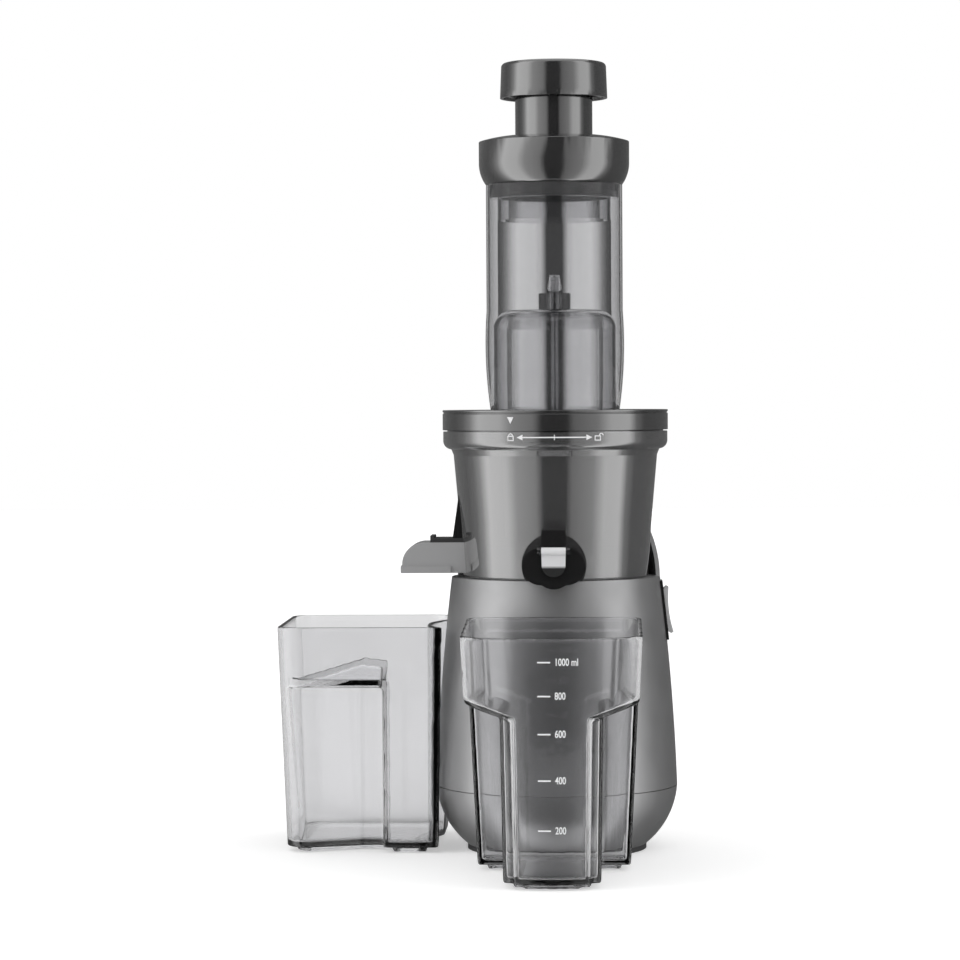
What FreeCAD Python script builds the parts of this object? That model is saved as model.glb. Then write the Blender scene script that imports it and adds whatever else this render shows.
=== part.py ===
import FreeCAD, Part
import math
import os
from FreeCAD import Vector

# Cold press juicer in millimetres, Z up, with the juice spout facing -Y.
# The origin is on the upright axis of the juicer, on the table.

os.makedirs("parts", exist_ok=True)

# Walls and clearances
SHELL = 3.0             # wall of the motor housing
WALL = 2.2              # wall of bowl, lid and collar
JUG_WALL = 2.4          # wall of jug and pulp container
FIT = 0.05              # running fit of a shaft, on the radius
GAP = 0.3               # between pieces that slide or turn past each other
SEAT = 0.1              # between fixed pieces that plug into each other

# Motor housing
FOOT_R = 53.7
FOOT_WIDTH = 7.0
FOOT_H = 3.0
BELLY_BULGE = 4.2
SEAM_Z = 38.5
SEAM_R = 72.3
SEAM_GROOVE = 0.4
SIDE_BULGE = 1.4
DECK_Z = 163.0
DECK_R = 62.4
DECK_T = 2.4
CROWN_H = 27.0          # rear wall that rises behind the bowl
CROWN_T = 2.4
CROWN_SLOPE = 46.0      # degrees, its falling side edges
TURRET_R = 14.0         # raised ring round the drive shaft
TURRET_H = 8.0
VENT_COUNT = 14
VENT_W = 3.0
VENT_IN_R = 27.0
VENT_OUT_R = 38.0

# Screws of the housing and of the gearbox
CASE_SCREW_R = 50.0
CASE_SCREW_ANGLES = (30, 150, 210, 330)
COLUMN_R = 4.5
SCREW_R = 1.8
SCREW_HEAD_R = 3.4
SCREW_HEAD_H = 2.4
SCREW_BITE = 14.0       # length of a screw in its column
SUNK_HEAD = 5.0         # depth of the pocket over a case screw's head

# Motor
CAN_R = 33.0
CAN_T = 1.6
CAN_Z = 24.0
CAN_H = 64.0
BELL_H = 6.0
STATOR_R = 19.0
STATOR_SLOTS = 12
ROTOR_R = 18.0
ROTOR_H = 36.0
MOTOR_SHAFT_R = 3.2
SHAFT_TAIL = 13.0       # shaft below the can, which carries the fan
FAN_R = 26.0
FAN_H = 8.0
FAN_BLADES = 11
SMALL_BEARING_R = 8.0
SMALL_BEARING_H = 5.0

# Gears, two equal reverted stages
MODULE = 1.0
PINION_TEETH = 10
WHEEL_TEETH = 48
PRESSURE_ANGLE = math.radians(20)
TOOTH_PLAY = 0.16
PINION_RISE = 0.9       # height of a pinion tooth over the pitch circle
WHEEL_RISE = 0.6
ROOT_CLEARANCE = 0.2
FIRST_W = 8.0
SECOND_W = 11.0
STAGE_GAP = 4.0
CASE_FLOOR = 3.0
CASE_WALL = 2.6
CASE_ROOM = 1.6         # between the wheels' tips and the gear case
COVER_T = 4.0
COVER_BOSS_R = 16.0
EAR_R = 6.0
EAR_X = 31.0
EAR_FRONT_Y = -8.0
EAR_REAR_Y = 37.0
EAR_T = 4.0
MOUNT_T = 2.5           # rubber washers under the deck columns
IDLER_PIN_R = 3.0
OUTPUT_R = 6.0
OUTPUT_BEARING_R = 13.0
OUTPUT_BEARING_H = 8.0
HEX_FLATS = 10.0
HEX_TOP_Z = 190.0

# Rocker switch on the right side of the housing
SWITCH_Z = 142.6
SWITCH_W = 18.0
SWITCH_H = 35.4
SWITCH_DEPTH = 16.0
SWITCH_PROUD = 1.0
SWITCH_PIVOT = -4.0     # pivot behind the housing's face
ROCKER_W = 13.0
ROCKER_END_R = 15.6
ROCKER_TIP = 3.6
ROCKER_DISH = 1.8
TRUNNION_R = 1.5
TRUNNION_L = 1.4

# Electrical pieces
INLET_Z = 26.0
INLET_R = 5.5
INLET_FLANGE_R = 8.5
BOARD_X = -46.0
BOARD_W = 40.0
BOARD_H = 40.0
CAPACITOR_R = 7.5
CAPACITOR_H = 30.0
CAPACITOR_Y = -44.5

# Bowl
CROWN_ROOM = 2.7        # between the crown and the bowl's neck
BOWL_DRAFT = 1.8        # on the radius, from the neck down to the foot
BOWL_NECK_Z = 194.4
BOWL_FLARE = 3.7        # on the radius, from the neck up to the top
BOWL_TOP_Z = 236.0
FLANGE_W = 6.2
FLANGE_Z = 244.5
RIM_Z = 250.0
BOWL_FLOOR_T = 2.4
HUB_R = 18.5
HUB_BORE_R = 16.0
HUB_TOP_Z = 182.0
STEM_R = 12.0

# Strainer and auger
STRAINER_FLOOR_R = 47.5
STRAINER_TOP_R = 52.0
STRAINER_TOP_Z = 240.0
STRAINER_T = 2.0
WINDOW_COUNT = 8
WINDOW_W = 24.0
MESH_T = 0.5
AUGER_FLOOR_R = 26.0
AUGER_CAP_R = 14.0
AUGER_TOP_Z = 246.0
FLIGHT_R = 43.0
FLIGHT_PITCH = 30.0
FLIGHT_TURNS = 1.6
FLIGHT_T = 3.4
SPINDLE_R = 2.4

# Juice spout at the front
SPOUT_Z = 172.6
SPOUT_BOSS_R = 18.9
SPOUT_BOSS_L = 6.7
SPOUT_L = 15.6
SPOUT_HALF_W = 18.3
SPOUT_HALF_H = 10.8
SPOUT_BORE_R = 6.5
NOSE_R = 11.0
NOSE_Z = 159.4
FLAP_HINGE_Z = 181.5
FLAP_W = 14.0
FLAP_T = 2.4
FLAP_TOP_Z = 193.6
FLAP_BOTTOM_Z = 166.6
TONGUE_W = 15.3
HINGE_R = 2.3
HINGE_PIN_R = 1.1
HINGE_EAR = 2.2

# Pulp chute on the left
CHUTE_L = 39.5
CHUTE_BITE = 5.3        # reach of the chute into the bowl
CHUTE_Z = 165.8
CHUTE_TOP_Z = 184.0
CHUTE_W = 31.0
CHUTE_T = 2.0
CHUTE_ROUND = 13.0
CHUTE_LIP = 1.6
CHUTE_LIP_H = 4.2
COVER_TOP_Z = 214.8
COVER_PROUD = 4.1
COVER_W = 24.0
TAB_L = 17.5
TAB_T = 2.4

# Lid and feed tube
LID_OVER = 0.3
LID_Z = 250.8
LID_H = 12.0
LID_SPIGOT = 7.0        # ring of the lid inside the bowl's mouth
TUBE_FOOT_R = 38.7
TUBE_R = 40.8
TUBE_SWELL = 1.6        # outward swell of the tube round the dome
TUBE_NECK_Z = 322.0
TUBE_TOP_Z = 397.0
TUBE_T = 1.9
DOME_TOP_Z = 322.4
DOME_T = 1.8
DOME_ROUND = 11.0
DOME_WINDOW = 100.0     # degrees of the feed window at the back of the dome
BUSH_R = 9.6
BUSH_H = 10.0
CONE_FOOT_R = 5.0
CONE_TOP_R = 3.2
CONE_H = 11.0
CONE_T = 0.7

# Collar and pusher
COLLAR_R = 45.0
COLLAR_WAIST_Z = 411.0
COLLAR_EDGE_Z = 423.0
COLLAR_TOP_Z = 426.4
COLLAR_CHAMFER = 1.0    # inside its top edge
COLLAR_SKIRT_Z = 389.0
SKIRT_Z = 376.0
SKIRT_R = 34.0
SKIRT_T = 1.8
ARCH_W = 27.0
ARCH_H = 15.0
STEM_TUBE_R = 23.1
STEM_TUBE_Z = 394.0
CAP_Z = 449.0
CAP_H = 21.0
CAP_R = 31.4
CAP_FLARE = 0.7
CAP_ROUND = 2.5
RIB_W = 4.0
RIB_RISE = 1.3

# Juice jug, in front of the housing
JUG_BACK_Y = -76.0
JUG_FRONT_Y = -178.0
JUG_FRONT_BULGE = 6.0
JUG_HALF_W = 43.7
JUG_RIM_HALF_W = 50.5
JUG_RIM_BACK_Y = -69.5
JUG_RIM_FRONT_Y = -184.0
JUG_RIM_Z = 139.0
JUG_RIM_RISE = 4.0      # rise of the rim from front to back
JUG_CORNER_R = 9.0
JUG_FRONT_CORNER_R = 14.0
JUG_FOOT_H = 3.0
JUG_FLOOR_T = 2.6
JUG_FOOT_INSET = 5.5
JUG_FOOT_T = 2.2
BLOCK_HALF_W = 27.0
BLOCK_TOP_HALF_W = 28.5
BLOCK_BACK_Y = -103.0
BLOCK_CORNER_R = 6.0
LEDGE_Z = 95.0
LEDGE_SLOPE = 0.35

# Pulp container, at the left of the housing
BIN_X = -161.0
BIN_RIM_GROWTH = 5.0    # how far the rim stands out past the floor
BIN_RIGHT_X = -69.0
BIN_FRONT_Y = -29.0
BIN_BACK_Y = 81.0
BIN_CORNER_R = 14.0
BIN_RIM_Z = 134.6
BIN_HUG_R = 75.0
BIN_FOOT_H = 3.0
GRIP_LEFT_X = -154.0
GRIP_RIGHT_X = -103.0
GRIP_DEPTH = 14.0
GRIP_Z = 97.0
GRIP_ROOF_SLOPE = 0.7


# Shapes from 2-D outlines

def bulged(start, end, bulge):
    """Middle of an arc that stands to the right of the run from start to end."""
    du, dv = end[0] - start[0], end[1] - start[1]
    run = math.hypot(du, dv)
    return (start[0] + end[0]) / 2 + dv / run * bulge, (start[1] + end[1]) / 2 - du / run * bulge


def corner_bend(radius):
    """Bulge of a quarter round."""
    return radius * (1 - math.sqrt(0.5))


def closed_wire(points, place):
    """Closed wire. A third number in a point bends the run that ends there."""
    edges = []
    for number, end in enumerate(points):
        start = points[number - 1]
        if len(end) == 3:
            middle = bulged(start, end, end[2])
            edges.append(Part.Arc(place(*start[:2]), place(*middle), place(*end[:2])).toShape())
        else:
            edges.append(Part.LineSegment(place(*start[:2]), place(*end[:2])).toShape())
    return Part.Wire(edges)


def spin(*points):
    """Solid turned round the Z axis from an outline of (radius, height)."""
    face = Part.Face(closed_wire(points, lambda r, z: Vector(r, 0, z)))
    return face.revolve(Vector(0, 0, 0), Vector(0, 0, 1), 360)


def plan_wire(points, z):
    return closed_wire(points, lambda x, y: Vector(x, y, z))


def slab(points, z0, z1):
    """Upright prism on an outline of (x, y)."""
    return Part.Face(plan_wire(points, z0)).extrude(Vector(0, 0, z1 - z0))


def side_prism(points, y0, y1):
    """Prism along Y on an outline of (x, z)."""
    face = Part.Face(closed_wire(points, lambda x, z: Vector(x, y0, z)))
    return face.extrude(Vector(0, y1 - y0, 0))


def end_prism(points, x0, x1):
    """Prism along X on an outline of (y, z)."""
    face = Part.Face(closed_wire(points, lambda y, z: Vector(x0, y, z)))
    return face.extrude(Vector(x1 - x0, 0, 0))


def drafted(low, low_z, high, high_z):
    """Solid between two plan outlines with the same number of points."""
    return Part.makeLoft([plan_wire(low, low_z), plan_wire(high, high_z)], True, True)


def disc(radius, z0, z1, x=0, y=0):
    return Part.makeCylinder(radius, z1 - z0, Vector(x, y, z0))


def ring(outer, inner, z0, z1, x=0, y=0):
    return disc(outer, z0, z1, x, y).cut(disc(inner, z0, z1, x, y))


def block(x0, x1, y0, y1, z0, z1):
    return Part.makeBox(x1 - x0, y1 - y0, z1 - z0, Vector(x0, y0, z0))


def bar_x(radius, x0, x1, y, z):
    return Part.makeCylinder(radius, x1 - x0, Vector(x0, y, z), Vector(1, 0, 0))


def bar_y(radius, y0, y1, x, z):
    return Part.makeCylinder(radius, y1 - y0, Vector(x, y0, z), Vector(0, 1, 0))


def fused(*shapes):
    return shapes[0].multiFuse(list(shapes[1:])).removeSplitter()


def less(shape, *tools):
    return shape.cut(list(tools)).removeSplitter()


def turned(shape, degrees, x=0, y=0):
    copy = shape.copy()
    copy.rotate(Vector(x, y, 0), Vector(0, 0, 1), degrees)
    return copy


def around(shape, count):
    return [turned(shape, 360 * number / count) for number in range(count)]


def polar(radius, degrees):
    return radius * math.cos(math.radians(degrees)), radius * math.sin(math.radians(degrees))


def arc_radius(low, high, bulge, z):
    """Radius at height z of an upright arc from low to high, each (radius, height)."""
    half = math.hypot(high[0] - low[0], high[1] - low[1]) / 2
    bend = (half * half + bulge * bulge) / (2 * bulge)
    centre = bulged(low, high, bulge - bend)
    return centre[0] + math.sqrt(bend ** 2 - (z - centre[1]) ** 2)


# Sizes that follow from the driving dimensions
SEAM_POINT = (SEAM_R, SEAM_Z)
DECK_POINT = (DECK_R, DECK_Z)
FLOOR_TOP_Z = FOOT_H + SHELL
BELL_Z = CAN_Z + CAN_H
CASE_Z = BELL_Z + BELL_H
FIRST_Z = CASE_Z + CASE_FLOOR + 1.0
SECOND_Z = FIRST_Z + FIRST_W + STAGE_GAP
COVER_Z = SECOND_Z + SECOND_W + CASE_ROOM
COVER_TOP = COVER_Z + COVER_T
PITCH_R = {teeth: MODULE * teeth / 2 for teeth in (PINION_TEETH, WHEEL_TEETH)}
IDLER_Y = PITCH_R[PINION_TEETH] + PITCH_R[WHEEL_TEETH]
PINION_TIP_R = PITCH_R[PINION_TEETH] + PINION_RISE * MODULE
WHEEL_TIP_R = PITCH_R[WHEEL_TEETH] + WHEEL_RISE * MODULE
PINION_ROOT_R = IDLER_Y - WHEEL_TIP_R - ROOT_CLEARANCE
WHEEL_ROOT_R = IDLER_Y - PINION_TIP_R - ROOT_CLEARANCE
CASE_IN_R = WHEEL_TIP_R + CASE_ROOM
CASE_OUT_R = CASE_IN_R + CASE_WALL
EARS = [(side * EAR_X, y) for side in (-1, 1) for y in (EAR_FRONT_Y, EAR_REAR_Y)]
CASE_SCREWS = [polar(CASE_SCREW_R, angle) for angle in CASE_SCREW_ANGLES]
TURRET_Z = DECK_Z + TURRET_H
BEARING_TOP_Z = COVER_Z + 2 * OUTPUT_BEARING_H + 2
BOWL_Z = DECK_Z + GAP
BOWL_NECK_R = DECK_R - CROWN_T - CROWN_ROOM
BOWL_FOOT_R = BOWL_NECK_R - BOWL_DRAFT
BOWL_TOP_R = BOWL_NECK_R + BOWL_FLARE
FLANGE_R = BOWL_TOP_R + FLANGE_W
LID_R = FLANGE_R + LID_OVER
SPOUT_BOSS_Y = -BOWL_NECK_R - SPOUT_BOSS_L
SPOUT_FRONT_Y = SPOUT_BOSS_Y - SPOUT_L
CHUTE_IN_X = CHUTE_BITE - BOWL_NECK_R
CHUTE_OUT_X = CHUTE_IN_X - CHUTE_L
COVER_OUT_X = -BOWL_NECK_R - COVER_PROUD
TAB_OUT_X = -BOWL_NECK_R - TAB_L
LID_TOP_Z = LID_Z + LID_H
BUSH_Z = DOME_TOP_Z
CONE_Z = BUSH_Z + BUSH_H


def side_radius(z):
    return arc_radius(SEAM_POINT, DECK_POINT, SIDE_BULGE, z)


# Motor housing

def housing_solid(inset):
    """The upper housing's outside, moved in by inset."""
    return spin(
        (0, SEAM_Z), (SEAM_R - inset, SEAM_Z), (DECK_R - inset, DECK_Z, SIDE_BULGE), (0, DECK_Z),
    )


def crown():
    """Rear wall behind the bowl, which falls away to nothing at both sides."""
    wall = ring(DECK_R, DECK_R - CROWN_T, DECK_Z, DECK_Z + CROWN_H)
    run = CROWN_H / math.tan(math.radians(CROWN_SLOPE))
    keep = end_prism(
        [(0, DECK_Z), (run, DECK_Z + CROWN_H), (2 * DECK_R, DECK_Z + CROWN_H), (2 * DECK_R, DECK_Z)],
        -2 * DECK_R, 2 * DECK_R,
    )
    half = CHUTE_W / 2 + CHUTE_LIP + 1
    return less(wall.common(keep), block(-2 * DECK_R, 0, -half, half, DECK_Z, DECK_Z + CROWN_H))


def switch_place(shape):
    """Puts a switch piece, drawn about its middle with X outwards, on the sloping side."""
    low, high = side_radius(SWITCH_Z - SWITCH_H / 2), side_radius(SWITCH_Z + SWITCH_H / 2)
    shape.rotate(Vector(0, 0, 0), Vector(0, 1, 0), -math.degrees(math.atan2(low - high, SWITCH_H)))
    shape.translate(Vector(side_radius(SWITCH_Z), 0, SWITCH_Z))
    return shape


def switch_outline(room):
    half_w, half_h = SWITCH_W / 2 + room, SWITCH_H / 2 + room
    return block(-SWITCH_DEPTH - room, SWITCH_PROUD, -half_w, half_w, -half_h, half_h)


def column(x, y, z0, z1):
    return disc(COLUMN_R, z0, z1, x, y)


def base_shell():
    hollow = less(housing_solid(SHELL), block(-DECK_R, DECK_R, -DECK_R, DECK_R, DECK_Z - DECK_T, DECK_Z))
    shell = less(housing_solid(0), hollow)
    top = DECK_Z - DECK_T
    columns = [column(x, y, SEAM_Z, top) for x, y in CASE_SCREWS]
    columns += [column(x, y, COVER_TOP + MOUNT_T, top) for x, y in EARS]
    turret = disc(TURRET_R, DECK_Z, TURRET_Z)
    boss = ring(COVER_BOSS_R, COVER_BOSS_R - WALL, BEARING_TOP_Z + 1, top)
    shell = fused(shell, crown(), turret, boss, *columns)
    seal_pocket = disc(TURRET_R - WALL, DECK_Z - DECK_T, TURRET_Z - WALL)
    shaft_hole = disc(OUTPUT_R + 1, DECK_Z - DECK_T, TURRET_Z)
    screw_holes = [disc(SCREW_R, SEAM_Z, SEAM_Z + SCREW_BITE, x, y) for x, y in CASE_SCREWS]
    deck_foot = COVER_TOP + MOUNT_T
    screw_holes += [disc(SCREW_R, deck_foot, deck_foot + SCREW_BITE, x, y) for x, y in EARS]
    opening = switch_place(switch_outline(SEAT))
    return less(shell, seal_pocket, shaft_hole, opening, *screw_holes)


def vent_slots(z0, z1):
    slot = block(VENT_IN_R, VENT_OUT_R, -VENT_W / 2, VENT_W / 2, z0, z1)
    return around(slot, VENT_COUNT)


def base_bottom():
    top = SEAM_Z - SEAM_GROOVE
    middle = (FOOT_H + top) / 2
    middle_r = arc_radius((FOOT_R, FOOT_H), (SEAM_R, top), BELLY_BULGE, middle)
    outside = spin((0, FOOT_H), (FOOT_R, FOOT_H), (SEAM_R, top, BELLY_BULGE), (0, top))
    inside = spin(
        (0, FLOOR_TOP_Z), (FOOT_R - SHELL / 2, FLOOR_TOP_Z), (middle_r - SHELL, middle),
        (SEAM_R - SHELL, top), (0, top),
    )
    columns = [column(x, y, FLOOR_TOP_Z, SEAM_Z) for x, y in CASE_SCREWS]
    bottom = fused(less(outside, inside), *columns, *board_rails())
    heads = [disc(SCREW_HEAD_R, FOOT_H, FOOT_H + SUNK_HEAD, x, y) for x, y in CASE_SCREWS]
    shanks = [disc(SCREW_R, FOOT_H, SEAM_Z, x, y) for x, y in CASE_SCREWS]
    inlet_hole = bar_y(INLET_R, FOOT_R, 2 * SEAM_R, 0, INLET_Z)
    groove = ring(FOOT_R - FOOT_WIDTH / 3, FOOT_R - 2 * FOOT_WIDTH / 3, FOOT_H, FOOT_H + SHELL / 2)
    return less(bottom, inlet_hole, groove, *heads, *shanks, *vent_slots(FOOT_H, FLOOR_TOP_Z))


def foot_ring():
    foot = ring(FOOT_R, FOOT_R - FOOT_WIDTH, 0, FOOT_H)
    key = ring(FOOT_R - FOOT_WIDTH / 3 - SEAT, FOOT_R - 2 * FOOT_WIDTH / 3 + SEAT, FOOT_H, FOOT_H + SHELL / 2)
    return fused(foot, key)


def screw(x, y, head_z, length):
    """Screw driven upwards, with its head at the bottom."""
    head = disc(SCREW_HEAD_R - SEAT, head_z, head_z + SCREW_HEAD_H, x, y)
    return fused(head, disc(SCREW_R, head_z + SCREW_HEAD_H, head_z + SCREW_HEAD_H + length, x, y))


def case_screws():
    head_z = FOOT_H + SUNK_HEAD - SCREW_HEAD_H
    length = SEAM_Z + SCREW_BITE - FOOT_H - SUNK_HEAD
    return Part.makeCompound([screw(x, y, head_z, length) for x, y in CASE_SCREWS])


def gearbox_screws():
    head_z = COVER_Z - EAR_T - SCREW_HEAD_H
    length = COVER_TOP + MOUNT_T + SCREW_BITE - COVER_Z + EAR_T
    return Part.makeCompound([screw(x, y, head_z, length) for x, y in EARS])


def vibration_mounts():
    return Part.makeCompound([ring(EAR_R, SCREW_R, COVER_TOP, COVER_TOP + MOUNT_T, x, y) for x, y in EARS])


# Rocker switch

def rocker_room(radius, half_w):
    """Round-ended room about the switch's pivot."""
    return bar_y(radius, -half_w, half_w, SWITCH_PIVOT, 0)


def switch_bezel():
    body = switch_outline(0)
    room = rocker_room(ROCKER_END_R + GAP, ROCKER_W / 2 + GAP)
    back = block(-SWITCH_DEPTH + WALL, 2 * SWITCH_PROUD, -ROCKER_W, ROCKER_W, -SWITCH_H, SWITCH_H)
    reach = ROCKER_W / 2 + TRUNNION_L + GAP
    pin_holes = bar_y(TRUNNION_R + FIT, -reach, reach, SWITCH_PIVOT, 0)
    return switch_place(less(body, room.common(back), pin_holes))


def rocker_switch():
    tip = SWITCH_PROUD + ROCKER_TIP
    half_h = ROCKER_END_R
    paddle = side_prism(
        [(SWITCH_PIVOT - TRUNNION_R, -half_h / 2), (SWITCH_PIVOT - TRUNNION_R, half_h / 2),
         (tip, half_h), (tip, -half_h, ROCKER_DISH)],
        -ROCKER_W / 2, ROCKER_W / 2,
    )
    paddle = paddle.common(rocker_room(ROCKER_END_R, ROCKER_W / 2))
    pins = bar_y(TRUNNION_R, -ROCKER_W / 2 - TRUNNION_L, ROCKER_W / 2 + TRUNNION_L, SWITCH_PIVOT, 0)
    return switch_place(fused(paddle, pins))


# Electrical pieces

def cord_inlet():
    """Bushing at the rear of the lower shell, with its flange outside."""
    flange_y = SEAM_R
    body = bar_y(INLET_R, FOOT_R + SHELL, flange_y, 0, INLET_Z)
    flange = bar_y(INLET_FLANGE_R, flange_y, flange_y + SHELL, 0, INLET_Z)
    bore = bar_y(INLET_R - WALL, FOOT_R, flange_y + 2 * SHELL, 0, INLET_Z)
    return less(fused(body, flange), bore)


def board_rails():
    """Two grooved posts on the floor that hold the control board on edge."""
    posts = []
    for side in (-1, 1):
        y = side * BOARD_W / 2
        post_top = FLOOR_TOP_Z + BOARD_H / 3
        post = block(BOARD_X - WALL, BOARD_X + 2 * WALL, y - WALL, y + WALL, FLOOR_TOP_Z, post_top)
        slot = block(BOARD_X - SEAT, BOARD_X + WALL - SEAT, -BOARD_W / 2, BOARD_W / 2, FLOOR_TOP_Z, SEAM_Z)
        posts.append(less(post, slot))
    return posts


def control_board():
    half = BOARD_W / 2
    plate = block(BOARD_X, BOARD_X + WALL - 2 * SEAT, -half, half, FLOOR_TOP_Z, FLOOR_TOP_Z + BOARD_H)
    relay_z = FLOOR_TOP_Z + BOARD_H / 3
    face_x = BOARD_X + WALL - 2 * SEAT
    relay = block(face_x, face_x + 2 * SHELL, -BOARD_W / 3, -BOARD_W / 12, relay_z, relay_z + 2 * SHELL)
    coil = bar_x(SHELL, face_x, face_x + 2 * SHELL, BOARD_W / 4, relay_z + SHELL)
    return fused(plate, relay, coil)


def run_capacitor():
    return disc(CAPACITOR_R, FLOOR_TOP_Z, FLOOR_TOP_Z + CAPACITOR_H, 0, CAPACITOR_Y)


# Motor

def motor_can():
    top = BELL_Z
    can = spin(
        (SMALL_BEARING_R, CAN_Z), (CAN_R, CAN_Z), (CAN_R, top), (CAN_R - CAN_T, top),
        (CAN_R - CAN_T, CAN_Z + CAN_T), (SMALL_BEARING_R + CAN_T, CAN_Z + CAN_T),
        (SMALL_BEARING_R + CAN_T, CAN_Z + SMALL_BEARING_H), (SMALL_BEARING_R, CAN_Z + SMALL_BEARING_H),
    )
    slot = block(SMALL_BEARING_R + 2 * CAN_T, CAN_R - 2 * CAN_T, -VENT_W, VENT_W, CAN_Z, CAN_Z + CAN_T)
    return less(can, *around(slot, 6))


def motor_stator():
    """Slotted core that sits in the can, round the rotor."""
    middle = CAN_Z + CAN_H / 2
    core = ring(CAN_R - CAN_T, STATOR_R, middle - ROTOR_H / 2, middle + ROTOR_H / 2)
    slot = block(STATOR_R - 1, CAN_R - 3 * CAN_T, -CAN_T, CAN_T, middle - ROTOR_H, middle + ROTOR_H)
    return less(core, *around(slot, STATOR_SLOTS))


def motor_end_bell():
    """Upper end of the motor, which holds a bearing and carries the gear case."""
    bell = ring(CAN_R, SMALL_BEARING_R, BELL_Z, CASE_Z)
    holes = [disc(SCREW_R, BELL_Z, CASE_Z, x, EAR_FRONT_Y) for x in motor_screw_x()]
    return less(bell, *holes)


def motor_screw_x():
    return -WHEEL_TIP_R + SHELL, WHEEL_TIP_R - SHELL


def motor_screws():
    screws = []
    for x in motor_screw_x():
        top = CASE_Z + CASE_FLOOR
        head = disc(SCREW_HEAD_R - 2 * SEAT, top, top + SCREW_HEAD_H, x, EAR_FRONT_Y)
        screws.append(fused(head, disc(SCREW_R, BELL_Z, top, x, EAR_FRONT_Y)))
    return Part.makeCompound(screws)


def motor_bearings():
    low = ring(SMALL_BEARING_R, MOTOR_SHAFT_R + FIT, CAN_Z, CAN_Z + SMALL_BEARING_H)
    high = ring(SMALL_BEARING_R, MOTOR_SHAFT_R + FIT, BELL_Z, BELL_Z + SMALL_BEARING_H)
    return Part.makeCompound([low, high])


def motor_rotor():
    middle = CAN_Z + CAN_H / 2
    core = disc(ROTOR_R, middle - ROTOR_H / 2, middle + ROTOR_H / 2)
    return less(core, disc(MOTOR_SHAFT_R, CAN_Z, BELL_Z))


def motor_shaft():
    """Shaft with the first pinion cut on its top."""
    tail_z = CAN_Z - SHAFT_TAIL
    shaft = disc(MOTOR_SHAFT_R, tail_z, FIRST_Z)
    pinion = gear(PINION_TEETH, PINION_ROOT_R, PINION_TIP_R, FIRST_Z, FIRST_Z + FIRST_W,
                  tooth_phase(PINION_TEETH, math.pi / 2, True))
    return fused(shaft, pinion)


def cooling_fan():
    low = CAN_Z - SHAFT_TAIL
    hub = disc(MOTOR_SHAFT_R + 2 * WALL, low, low + FAN_H)
    plate = disc(FAN_R, low + FAN_H - CAN_T, low + FAN_H)
    blade = block(MOTOR_SHAFT_R + WALL, FAN_R, -CAN_T / 2, CAN_T / 2, low, low + FAN_H)
    fan = fused(hub, plate, *around(blade, FAN_BLADES))
    return less(fan, disc(MOTOR_SHAFT_R, low, low + FAN_H))


# Gearbox

def tooth_half_angle(teeth, radius):
    """Half of a tooth's angle at a radius, on an involute flank."""
    pitch = PITCH_R[teeth]
    base = pitch * math.cos(PRESSURE_ANGLE)
    steep = math.acos(min(1.0, base / radius))
    rolled = math.tan(PRESSURE_ANGLE) - PRESSURE_ANGLE - math.tan(steep) + steep
    return math.pi / (2 * teeth) - TOOTH_PLAY / (2 * pitch) + rolled


def gear(teeth, root, tip, z0, z1, phase):
    """Spur gear with tooth number 0 turned by phase radians from +X."""
    base = PITCH_R[teeth] * math.cos(PRESSURE_ANGLE)
    radii = [root, tip] if root > base else [root, base, (base + tip) / 2, tip]
    points = []
    for number in range(teeth):
        middle = 2 * math.pi * number / teeth + phase
        flank = [(radius, tooth_half_angle(teeth, radius)) for radius in radii]
        for radius, half in flank:
            points.append((radius * math.cos(middle - half), radius * math.sin(middle - half)))
        for radius, half in reversed(flank):
            points.append((radius * math.cos(middle + half), radius * math.sin(middle + half)))
    return slab(points, z0, z1)


def tooth_phase(teeth, direction, gap):
    """Phase that puts a tooth, or a gap, on a direction in radians."""
    return direction + (math.pi / teeth if gap else 0)


def case_outline(radius):
    """Long round outline about the motor's axis and the idler's."""
    return [(radius, 0, radius), (radius, IDLER_Y), (-radius, IDLER_Y, radius), (-radius, 0)]


def ear_plate(z0, z1):
    plate = slab(case_outline(CASE_OUT_R), z0, z1)
    return fused(plate, *[disc(EAR_R, z0, z1, x, y) for x, y in EARS])


def gearbox_case():
    body = slab(case_outline(CASE_OUT_R), CASE_Z, COVER_Z)
    body = fused(body, ear_plate(COVER_Z - EAR_T, COVER_Z))
    room = slab(case_outline(CASE_IN_R), CASE_Z + CASE_FLOOR, COVER_Z)
    boss = disc(IDLER_PIN_R + WALL, CASE_Z, FIRST_Z - GAP, 0, IDLER_Y)
    case = fused(less(body, room), boss)
    holes = [disc(MOTOR_SHAFT_R + 1, CASE_Z, FIRST_Z), disc(IDLER_PIN_R, CASE_Z + 1, FIRST_Z, 0, IDLER_Y)]
    holes += [disc(SCREW_R, CASE_Z, COVER_Z, x, y) for x, y in EARS]
    holes += [disc(SCREW_R, CASE_Z, CASE_Z + CASE_FLOOR, x, EAR_FRONT_Y) for x in motor_screw_x()]
    return less(case, *holes)


def gearbox_cover():
    plate = ear_plate(COVER_Z, COVER_TOP)
    boss = disc(COVER_BOSS_R, COVER_Z, BEARING_TOP_Z)
    holes = [disc(OUTPUT_BEARING_R, COVER_Z, BEARING_TOP_Z)]
    holes += [disc(IDLER_PIN_R, COVER_Z, COVER_Z + 2, 0, IDLER_Y)]
    holes += [disc(SCREW_R, COVER_Z, COVER_TOP, x, y) for x, y in EARS]
    return less(fused(plate, boss), *holes)


def idler_pin():
    return disc(IDLER_PIN_R, CASE_Z + 1, COVER_Z + 2, 0, IDLER_Y)


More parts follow.
